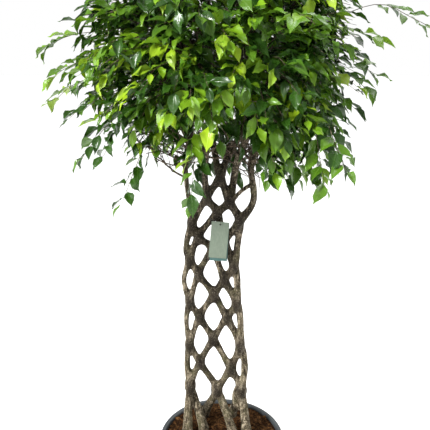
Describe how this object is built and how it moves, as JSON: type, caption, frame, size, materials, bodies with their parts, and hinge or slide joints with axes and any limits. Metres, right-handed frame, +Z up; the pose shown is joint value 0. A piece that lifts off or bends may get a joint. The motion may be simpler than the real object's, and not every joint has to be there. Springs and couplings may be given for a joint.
{
  "type": "potted weeping fig",
  "caption": "Indoor weeping fig with stems woven into a flat open lattice trunk under a round leafy crown, standing in a round nursery pot of soil.",
  "frame": {"origin": "middle of the pot's underside, on the floor", "axes": "+Z up along the pot's axis, -Y towards the viewer of the picture, +X to that viewer's right"},
  "size_m": [1.2214, 0.9815, 1.9121],
  "materials": {
    "pot_plastic": "matte",
    "soil": "loose fibrous bark and peat",
    "bark": "rough",
    "leaf": "satin",
    "tag_card": "matte",
    "tag_card_back": "matte",
    "tag_tie": "matte"
  },
  "bodies": {
    "root": {"pot": "pot_plastic", "soil": "soil", "woven_trunk": "bark", "crown_left": "leaf", "crown_front_left": "leaf", "crown_back_left": "leaf", "crown_back_right": "leaf", "crown_front_right": "leaf", "crown_right": "leaf", "tag_front_card": "tag_card", "tag_back_card": "tag_card_back", "tag_tie": "tag_tie"}
  },
  "joints": []
}
